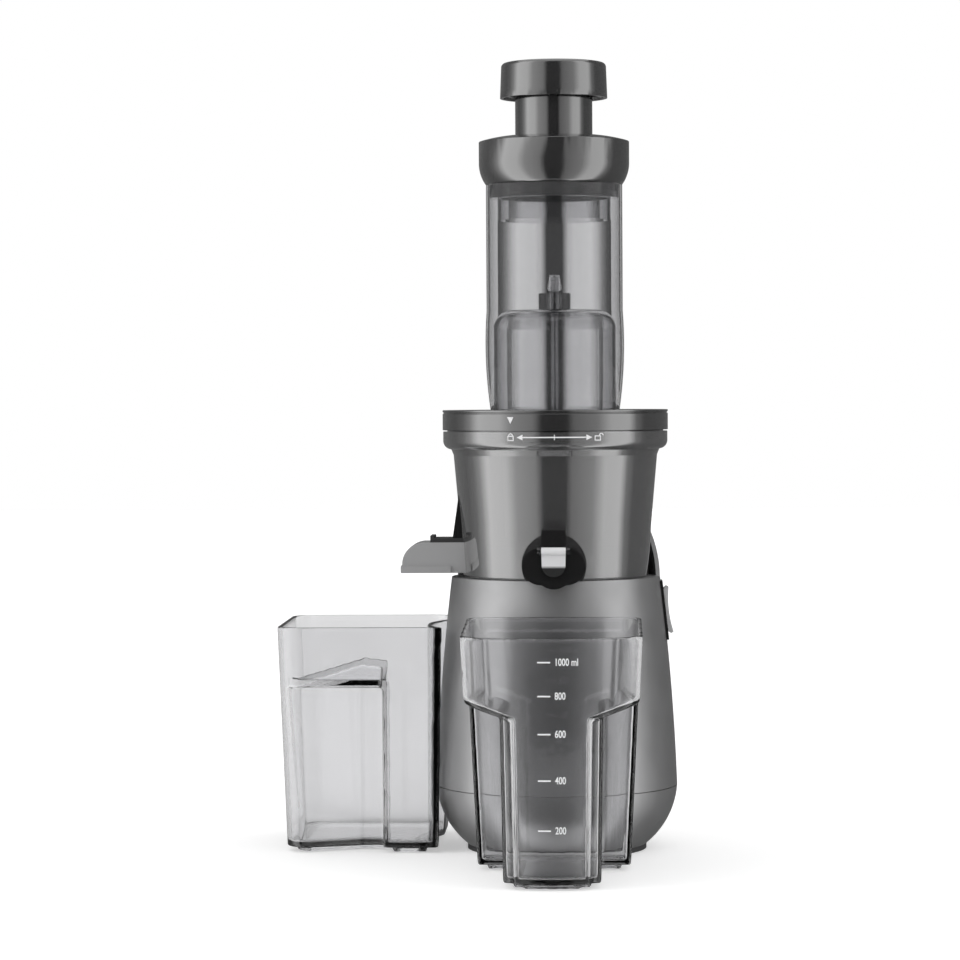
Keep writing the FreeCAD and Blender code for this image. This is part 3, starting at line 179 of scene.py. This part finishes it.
def clear(name, smoke, rough, through=1.0, body=0.9, gloss=0.5, coat=0.0, index=1.49):
    """See-through plastic; smoke is how much its dye absorbs per metre of thickness."""
    material, tree, shader = new_material(name)
    low, high = (min(1.0, body * share) for share in CLEAR_COLOUR_DRIFT)
    colour = shade_mix(tree, noise(tree, CLEAR_COLOUR_NOISE), low, high)
    tree.links.new(colour, shader.inputs["Base Color"])
    patches = remap(tree, noise(tree, CLEAR_GLOSS_NOISE), NOISE_SPAN,
                    [rough * share for share in CLEAR_GLOSS_DRIFT])
    tree.links.new(patches, shader.inputs["Roughness"])
    set_levels(shader, {"Transmission Weight": through, "IOR": index, "Specular IOR Level": gloss,
                        "Coat Weight": coat, "Coat Roughness": CLEAR_COAT_ROUGH})
    add_bump(tree, shader, noise(tree, CLEAR_WAVE_NOISE), FAINT, WAVE_DEPTH)
    dye = tree.nodes.new("ShaderNodeVolumeAbsorption")
    set_levels(dye, {"Color": (0, 0, 0, 1), "Density": smoke})
    tree.links.new(dye.outputs[0], tree.nodes["Material Output"].inputs["Volume"])
    return material


def painted_shade_and_highlight(name, low, high, split, soft):
    """Moulding with painted shade on its lower part, where it looks into the dark spout, and a painted
    highlight on its upper part, where it catches the light.
    """
    material, tree, shader = new_material(name)
    height = split_axes(tree, object_place(tree))["Z"]
    share = remap(tree, height, ((split - soft) * MM, (split + soft) * MM))
    # Blend by height from painted shade at the bottom to a painted highlight at the top
    tree.links.new(shade_mix(tree, share, low, high), shader.inputs["Base Color"])
    set_levels(shader, {"Roughness": 0.15})
    add_bump(tree, shader, noise(tree, PLAIN_GRAIN), FAINT, GRAIN_DEPTH)
    return material


HOUSING = solid("housing_satin", 0.25, 0.41, metal=0.7, grain=2600.0, bump=0.10, shine=0.9)
GLOSS_BLACK = solid("gloss_black", 0.012, 0.12, coat=0.4)
DARK_SMOKE = solid("dark_smoke", 0.022, 0.10, coat=0.8, shine=1.0)
BOWL_SMOKE = clear("bowl_smoke", 170.0, 0.06, through=0.65, body=0.13, gloss=1.0, coat=1.0, index=1.72)
TUBE_SMOKE = clear("tube_smoke", 115.0, 0.03, gloss=1.0, index=1.22)
DOME_CLEAR = clear("dome_clear", 45.0, 0.03, gloss=1.0, index=1.6)
JUG_CLEAR = clear("jug_clear", 22.0, 0.03, body=0.97)
BIN_CLEAR = clear("bin_clear", 30.0, 0.04, body=0.97)
CHUTE = solid("chute_light", 0.42, 0.16, grain=1500.0, bump=0.02, coat=0.6, shine=0.8)
RUBBER = solid("rubber", 0.03, 0.6, grain=1800.0, bump=0.15)
STEEL = solid("steel", 0.55, 0.22, metal=1.0, grain=3000.0)
CAST = solid("cast_metal", 0.42, 0.45, metal=0.9, grain=1200.0, bump=0.2)
PAINT = solid("motor_paint", 0.08, 0.4, metal=0.3)
NYLON = solid("gear_nylon", 0.7, 0.45)
SWITCH_WHITE = solid("switch_bright", 0.75, 0.14, metal=0.35, coat=0.6)
INNER = solid("inner_plastic", 0.09, 0.4)
MARK = solid("print_white", 0.95, 0.5, bump=0.0)
BOARD = solid("board", 0.05, 0.5)
# Spout flap: painted shade below the split height and a painted highlight above it
FLAP = painted_shade_and_highlight("flap", low=0.03, high=0.85, split=172.4, soft=0.8)

FINISH = {
    HOUSING: ("base_shell", "base_bottom"),
    GLOSS_BLACK: ("spout_housing", "switch_bezel", "outlet_cover"),
    DARK_SMOKE: ("bowl_lid", "tube_collar", "pusher_cap", "pusher_stem"),
    BOWL_SMOKE: ("juice_bowl",),
    TUBE_SMOKE: ("feed_tube",),
    DOME_CLEAR: ("feed_dome", "spindle_bush", "spindle_cone", "guide_skirt"),
    JUG_CLEAR: ("juice_jug",),
    BIN_CLEAR: ("pulp_container",),
    CHUTE: ("pulp_chute",),
    FLAP: ("spout_flap",),
    RUBBER: ("foot_ring", "cord_inlet", "vibration_mounts", "shaft_seal", "hub_seat", "stem_seal",
             "pulp_plug"),
    STEEL: ("case_screws", "gearbox_screws", "motor_screws", "motor_bearings", "motor_shaft", "idler_pin",
            "drive_shaft", "output_bearings", "spout_hinge_pin", "auger_spindle", "strainer_mesh"),
    CAST: ("motor_end_bell", "gearbox_case", "gearbox_cover"),
    PAINT: ("motor_can", "motor_stator", "motor_rotor", "run_capacitor"),
    NYLON: ("idler_gear", "output_gear", "cooling_fan"),
    SWITCH_WHITE: ("rocker_switch",),
    INNER: ("strainer_frame", "auger"),
    BOARD: ("control_board",),
}


def paint(obj, material):
    obj.data.materials.clear()
    obj.data.materials.append(material)


for finish, names in FINISH.items():
    for name in names:
        paint(nodes[name], finish)


# Meshes and objects

def new_mesh(name, verts, faces):
    mesh = bpy.data.meshes.new(name)
    mesh.from_pydata(verts, [], faces)
    return mesh


def add_object(name, data):
    obj = bpy.data.objects.new(name, data)
    bpy.context.scene.collection.objects.link(obj)
    return obj


def add_mark(name, mesh, body):
    """White print that rides a body."""
    mark = add_object(name, mesh)
    paint(mark, MARK)
    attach(mark, body)


# Mould-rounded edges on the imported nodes

WELD_GAP = 0.00001


def weld(name):
    """Joins the doubled points of a node's mesh, so that its edges can be worked."""
    joined = nodes[name].modifiers.new("weld", "WELD")
    joined.merge_threshold = WELD_GAP


def soften(name, width):
    """Rounds a node's sharp edges a little, as a moulding's are."""
    weld(name)
    edge = nodes[name].modifiers.new("edge", "BEVEL")
    edge.width = width * MM
    edge.segments = 2
    edge.limit_method = "ANGLE"
    edge.angle_limit = math.radians(40)
    edge.harden_normals = True


def mould(name, grain, passes):
    """Rounds every corner of a see-through moulding, as its mould would leave it."""
    weld(name)
    skin = nodes[name].modifiers.new("skin", "REMESH")
    skin.mode = "VOXEL"
    skin.voxel_size = grain * MM
    skin.use_smooth_shade = True
    rub = nodes[name].modifiers.new("rub", "SMOOTH")
    rub.factor = 0.5
    rub.iterations = passes


for name in ("juice_jug", "pulp_container"):
    mould(name, grain=0.8, passes=10)

for name, width in (("tube_collar", 0.7), ("pusher_cap", 0.5), ("rocker_switch", 0.5)):
    soften(name, width)


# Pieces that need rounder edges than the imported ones

# The lid's section as (radius, height) in millimetres: rim with a fine groove, hole round the tube, inner skirt
LID_SECTION = [
    (67.5, 250.8), (67.5, 260.6), (66.9, 260.9), (66.9, 261.3), (67.5, 261.6), (67.5, 262.8),
    (34.9, 262.8), (34.9, 260.6), (62.5, 260.6), (62.5, 246.5), (64.7, 246.5), (64.7, 250.8),
]

# The pusher's guide rib, in millimetres: its half width, middle height of its round top, and lower end
RIB_HALF_W = 2.0
RIB_ARCH_Z = 451.2
RIB_END_Z = 449.2
RIB_DEPTH_Y = (-32.2, -24.0)
RIB_ARCH_STEPS = 12


def rounded(points, radius, steps=4):
    """Closed outline in millimetres with each corner rounded, less where an edge is short."""
    out = []
    count = len(points)
    for k in range(count):
        here = Vector(points[k])
        to_last, to_next = Vector(points[k - 1]) - here, Vector(points[(k + 1) % count]) - here
        cut = min(radius, 0.45 * to_last.length, 0.45 * to_next.length)
        start, end = here + to_last.normalized() * cut, here + to_next.normalized() * cut
        for step in range(steps + 1):
            t = step / steps
            out.append(start * (1 - t) ** 2 + here * 2 * t * (1 - t) + end * t ** 2)
    return out


def lathe(name, points, radius, material, body, around=160):
    """Solid of revolution with rounded edges, smooth all over, that stands for a node."""
    outline = rounded(points, radius)
    size = len(outline)
    verts = [(p.x * MM * math.sin(a), -p.x * MM * math.cos(a), p.y * MM)
             for a in (2 * math.pi * k / around for k in range(around)) for p in outline]
    faces = []
    for k in range(around):
        near, far = k * size, (k + 1) % around * size
        faces += [(near + j, near + (j + 1) % size, far + (j + 1) % size, far + j) for j in range(size)]
    mesh = new_mesh(name + "_smooth", verts, faces)
    build = bmesh.new()
    build.from_mesh(mesh)
    bmesh.ops.recalc_face_normals(build, faces=build.faces)
    build.to_mesh(mesh)
    build.free()
    mesh.polygons.foreach_set("use_smooth", [True] * len(faces))
    piece = add_object(name + "_smooth", mesh)
    paint(piece, material)
    weigh = piece.modifiers.new("weigh", "WEIGHTED_NORMAL")
    weigh.keep_sharp = True
    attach(piece, body)
    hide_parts(name)


def rib_head():
    """Rounded top of the pusher's guide rib, in the notch of the cap."""
    turns = (math.pi * k / RIB_ARCH_STEPS for k in range(RIB_ARCH_STEPS + 1))
    arch = [(RIB_HALF_W * math.cos(t), RIB_ARCH_Z + RIB_HALF_W * math.sin(t)) for t in turns]
    outline = arch + [(-RIB_HALF_W, RIB_END_Z), (RIB_HALF_W, RIB_END_Z)]
    size = len(outline)
    verts = [(x * MM, y * MM, z * MM) for y in RIB_DEPTH_Y for x, z in outline]
    faces = [tuple(range(size)), tuple(range(2 * size - 1, size - 1, -1))]
    faces += [(j, (j + 1) % size, size + (j + 1) % size, size + j) for j in range(size)]
    piece = add_object("rib_head", new_mesh("rib_head", verts, faces))
    paint(piece, DARK_SMOKE)
    edge = piece.modifiers.new("edge", "BEVEL")
    edge.width = 0.3 * MM
    edge.segments = 3
    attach(piece, "pusher")


lathe("bowl_lid", LID_SECTION, 0.35, DARK_SMOKE, "lid")
rib_head()


# Printed marks, in millimetres and in degrees round the juicer from its front

PRINT_LIFT = 0.12
LID_PRINT_R = 67.5 + PRINT_LIFT
FLANGE_PRINT_R = 67.2 + PRINT_LIFT

LOCKED_AT, OPEN_AT = -21.8, 22.5
POINTER = [(-2.0, 1.9), (0.0, -2.1), (2.0, 1.9)]
POINTER_Z = 257.0

LOCK_W, LOCK_H, LOCK_LINE = 3.9, 3.0, 0.55
LOCK_MIDDLE_H = 1.6
SHACKLE_R = 0.45 * LOCK_W / 2
OPEN_SHIFT = 2.2
LOCK_Z = 246.6

ARROW_AT, ARROW_Z = 0.5, 247.0
ARROW_HALF_TURN = 19.1
ARROW_STEPS = 24
ARROW_LINE_HALF = 0.34
ARROW_LINE_GAP = 2.4
ARROW_HEAD_L, ARROW_HEAD_HALF = 3.6, 1.6
TICK_HALF_W, TICK_HALF_H = 0.2, 1.5

SCALE_MARKS = ((33.1, "200"), (60.7, "400"), (86.3, "600"), (107.2, "800"), (125.8, "1000 ml"))
BAR_X, BAR_L, BAR_HALF_H = -7.4, 7.1, 0.42
BAR_STEPS = 4
NUMBER_X, NUMBER_SIZE = 2.0, 5.6
NUMBER_WEIGHT = 0.10
NUMBER_NARROW = 0.72
NUMBER_LIFT = 0.25
LEAN_X, LEAN_HALF_H = 4.0, 2.0
RAY_FROM_Y = -400.0


def wrap_mark(name, outlines, radius, height, angle, body):
    """White print on an upright round wall; outlines hold (along, up) points in millimetres."""
    verts, faces = [], []
    for outline in outlines:
        first = len(verts)
        for along, up in outline:
            turn = math.radians(angle) + along / radius
            verts.append((radius * MM * math.sin(turn), -radius * MM * math.cos(turn), (height + up) * MM))
        faces.append(tuple(range(first, len(verts))))
    add_mark(name, new_mesh(name, verts, faces), body)


def half_ring(middle, inner, outer, steps=10):
    """Quads of the upper half of a ring."""
    def at(radius, share):
        turn = math.pi * share
        return middle[0] + radius * math.cos(turn), middle[1] + radius * math.sin(turn)
    return [[at(inner, k / steps), at(outer, k / steps), at(outer, (k + 1) / steps), at(inner, (k + 1) / steps)]
            for k in range(steps)]


def box_mark(x0, x1, z0, z1):
    return [(x0, z0), (x1, z0), (x1, z1), (x0, z1)]


def padlock(shift):
    """Outline of a padlock whose shackle is moved sideways by shift."""
    half = LOCK_W / 2
    case = [box_mark(-half, half, 0, LOCK_LINE), box_mark(-half, half, LOCK_H - LOCK_LINE, LOCK_H),
            box_mark(-half, LOCK_LINE - half, LOCK_LINE, LOCK_H - LOCK_LINE),
            box_mark(half - LOCK_LINE, half, LOCK_LINE, LOCK_H - LOCK_LINE)]
    shackle = half_ring((shift, LOCK_H), SHACKLE_R, SHACKLE_R + LOCK_LINE)
    return [[(x, z - LOCK_MIDDLE_H) for x, z in outline] for outline in case + shackle]


def turn_arrow():
    """Line along the flange with a head at each end and a tick in its middle."""
    reach = math.radians(ARROW_HALF_TURN) * FLANGE_PRINT_R
    start, stride = ARROW_LINE_GAP - reach, 2 * (reach - ARROW_LINE_GAP) / ARROW_STEPS
    arrow = [box_mark(start + k * stride, start + (k + 1) * stride, -ARROW_LINE_HALF, ARROW_LINE_HALF)
             for k in range(ARROW_STEPS)]
    neck = reach - ARROW_HEAD_L
    arrow += [[(side * reach, 0), (side * neck, side * ARROW_HEAD_HALF), (side * neck, -side * ARROW_HEAD_HALF)]
              for side in (-1, 1)]
    arrow += [box_mark(-TICK_HALF_W, TICK_HALF_W, -TICK_HALF_H, TICK_HALF_H)]
    return arrow


def jug_front(x, z):
    """Place on the jug's front for a print, in metres."""
    hit, place, _, _ = nodes["juice_jug"].ray_cast(Vector((x, RAY_FROM_Y, z)) * MM, Vector((0, 1, 0)))
    if not hit:
        raise RuntimeError("no surface for a mark on the jug")
    return place - Vector((0, PRINT_LIFT * MM, 0))


def scale_bar(z):
    xs = [BAR_X + k * BAR_L / BAR_STEPS for k in range(BAR_STEPS + 1)]
    verts = [jug_front(x, z + side * BAR_HALF_H) for side in (-1, 1) for x in xs]
    faces = [(k, k + 1, k + len(xs) + 1, k + len(xs)) for k in range(BAR_STEPS)]
    add_mark("scale_bar", new_mesh("scale_bar", verts, faces), "jug")


def scale_number(z, words):
    """Number beside a bar, turned from a text into a mesh that leans with the jug's wall."""
    curve = bpy.data.curves.new("scale_number", "FONT")
    curve.body = words
    curve.size = NUMBER_SIZE * MM
    curve.offset = NUMBER_WEIGHT * MM
    curve.align_y = "CENTER"
    text = add_object("scale_number", curve)
    text.scale = (NUMBER_NARROW, 1.0, 1.0)
    foot, head = jug_front(LEAN_X, z - LEAN_HALF_H), jug_front(LEAN_X, z + LEAN_HALF_H)
    lean = math.atan2(foot.y - head.y, head.z - foot.z)
    text.rotation_euler = (math.radians(90) + lean, 0, 0)
    text.location = jug_front(NUMBER_X, z) - Vector((0, NUMBER_LIFT * MM, 0))
    bpy.context.view_layer.update()
    mesh = bpy.data.meshes.new_from_object(text.evaluated_get(bpy.context.evaluated_depsgraph_get()))
    mesh.transform(text.matrix_world)
    bpy.data.objects.remove(text)
    add_mark("scale_number", mesh, "jug")


wrap_mark("lid_pointer", [POINTER], LID_PRINT_R, POINTER_Z, LOCKED_AT, "lid")
wrap_mark("locked_sign", padlock(0.0), FLANGE_PRINT_R, LOCK_Z, LOCKED_AT, "bowl")
wrap_mark("open_sign", padlock(OPEN_SHIFT), FLANGE_PRINT_R, LOCK_Z, OPEN_AT, "bowl")
wrap_mark("turn_arrow", turn_arrow(), FLANGE_PRINT_R, ARROW_Z, ARROW_AT, "bowl")
for mark_z, mark_words in SCALE_MARKS:
    scale_bar(mark_z)
    scale_number(mark_z, mark_words)


# Light, floor and camera

# Brightness of the studio round the juicer by azimuth from the camera, in degrees, for gloss: a dark
# card behind the camera, a panel on each side, and dark flags past the panels
LEFT_STUDIO = (
    (0, 0.03), (13, 0.05), (22, 1.1), (45, 1.6), (58, 2.9), (84, 3.0), (97, 1.1), (108, 0.45), (122, 0.22),
    (180, 0.15),
)
RIGHT_STUDIO = (
    (0, 0.03), (13, 0.05), (20, 0.7), (45, 1.2), (60, 2.6), (82, 2.6), (92, 0.7), (104, 0.22), (140, 0.15),
    (180, 0.12),
)
RAMP_TOP = 4.0
OVERHEAD_FROM, OVERHEAD_LEVEL = 0.72, 1.3
BACKDROP_FROM = 158
GLASS_TOP = 0.8
DIFFUSE_LEVEL = 0.75
WHITE = 1.0
FLOOR_GLOW = 0.36

# Painted shade seen through the feed tube: darkness of the hidden cards behind it, by share of the tube's
# radius from its middle, with the card's distance behind the tube's axis, its heights and the tube's radius in
# metres
PAINTED_SHADE_ACROSS_TUBE = (
    (0.0, 0.9), (0.12, 0.9), (0.21, 0.25), (0.3, 0.08), (0.58, 0.0), (0.68, 0.25), (0.77, 0.62), (0.87, 0.82),
    (1.0, 0.88),
)
FLAG_Y = 0.12
FLAG_LOW, FLAG_HIGH = 0.262, 0.45
TUBE_R = 0.0412


def studio_ramp(tree, azimuth, levels):
    """Brightness by azimuth; a ramp's colours end at 1, so it holds levels as shares of RAMP_TOP."""
    stops = [(degrees / 180, level / RAMP_TOP) for degrees, level in levels]
    share = grey_ramp(tree, math_node(tree, "DIVIDE", azimuth, math.pi), stops)
    return math_node(tree, "MULTIPLY", share, RAMP_TOP)


def world_light():
    """Studio for gloss and glass, even light for the rest, and plain white for the camera."""
    world = bpy.data.worlds.new("studio")
    bpy.context.scene.world = world
    world.use_nodes = True
    tree = world.node_tree
    back = tree.nodes["Background"]
    back.inputs["Color"].default_value = (1, 1, 1, 1)
    x, y, z = split_axes(tree, tree.nodes.new("ShaderNodeTexCoord").outputs["Generated"])
    azimuth = math_node(tree, "ARCTAN2", math_node(tree, "ABSOLUTE", x), math_node(tree, "MULTIPLY", y, -1.0))
    right_side = math_node(tree, "GREATER_THAN", x, 0.0)
    round_about = pick(tree, right_side, studio_ramp(tree, azimuth, LEFT_STUDIO),
                       studio_ramp(tree, azimuth, RIGHT_STUDIO))
    overhead = math_node(tree, "GREATER_THAN", z, OVERHEAD_FROM)
    gloss = pick(tree, overhead, round_about, OVERHEAD_LEVEL)
    path = tree.nodes.new("ShaderNodeLightPath")
    behind = math_node(tree, "GREATER_THAN", azimuth, math.radians(BACKDROP_FROM))
    glass = pick(tree, behind, math_node(tree, "MINIMUM", gloss, GLASS_TOP), WHITE)
    level = pick(tree, path.outputs["Is Transmission Ray"], gloss, glass)
    level = pick(tree, path.outputs["Is Diffuse Ray"], level, DIFFUSE_LEVEL)
    level = pick(tree, path.outputs["Is Camera Ray"], level, WHITE)
    tree.links.new(level, back.inputs["Strength"])


def floor_material():
    """Pale and dull, and a little brighter for the camera, so that it meets the white behind it."""
    material, tree, shader = new_material("floor_white")
    set_levels(shader, {"Base Color": (0.9, 0.9, 0.9, 1), "Roughness": 0.9, "Specular IOR Level": 0.0,
                        "Emission Color": (1, 1, 1, 1)})
    path = tree.nodes.new("ShaderNodeLightPath")
    glow = math_node(tree, "MULTIPLY", path.outputs["Is Camera Ray"], FLOOR_GLOW)
    tree.links.new(glow, shader.inputs["Emission Strength"])
    return material


def build_floor():
    bpy.ops.mesh.primitive_plane_add(size=12.0, location=(0, 0, -0.0002))
    floor = bpy.context.object
    floor.name = "floor"
    paint(floor, floor_material())
    floor.visible_glossy = False


def painted_shade_card():
    """Painted shade: dark cards behind the feed tube's middle and edges, seen only through its plastic."""
    widen = (FLAG_Y - EYE.y) / -EYE.y
    half = TUBE_R * widen
    middle = EYE.x * -FLAG_Y / -EYE.y
    corners = [(middle - half, FLAG_Y, FLAG_LOW), (middle + half, FLAG_Y, FLAG_LOW),
               (middle + half, FLAG_Y, FLAG_HIGH), (middle - half, FLAG_Y, FLAG_HIGH)]
    card = add_object("painted_shade_card", new_mesh("painted_shade_card", corners, [(0, 1, 2, 3)]))
    material, tree, shader = new_material("painted_shade_black")
    set_levels(shader, {"Base Color": (0, 0, 0, 1), "Specular IOR Level": 0.0})
    across = split_axes(tree, object_place(tree))["X"]
    away = math_node(tree, "ABSOLUTE", math_node(tree, "SUBTRACT", across, middle))
    # The card's opacity paints the shade seen through the tube, darkest round its middle and edges
    tree.links.new(grey_ramp(tree, math_node(tree, "DIVIDE", away, half), PAINTED_SHADE_ACROSS_TUBE), shader.inputs["Alpha"])
    paint(card, material)
    for ray in ("camera", "diffuse", "glossy", "shadow"):
        setattr(card, "visible_" + ray, False)


def build_camera():
    data = bpy.data.cameras.new("view")
    data.lens = LENS
    data.sensor_width = SENSOR
    camera = add_object("view", data)
    camera.location = EYE
    turn = (AIM - EYE).to_track_quat("-Z", "Y") @ Quaternion((0, 0, 1), math.radians(ROLL))
    camera.rotation_euler = turn.to_euler()
    bpy.context.scene.camera = camera


world_light()
build_floor()
build_camera()
# Hidden dark cards that paint shade into the feed tube
painted_shade_card()
bpy.context.scene.view_settings.view_transform = "Standard"
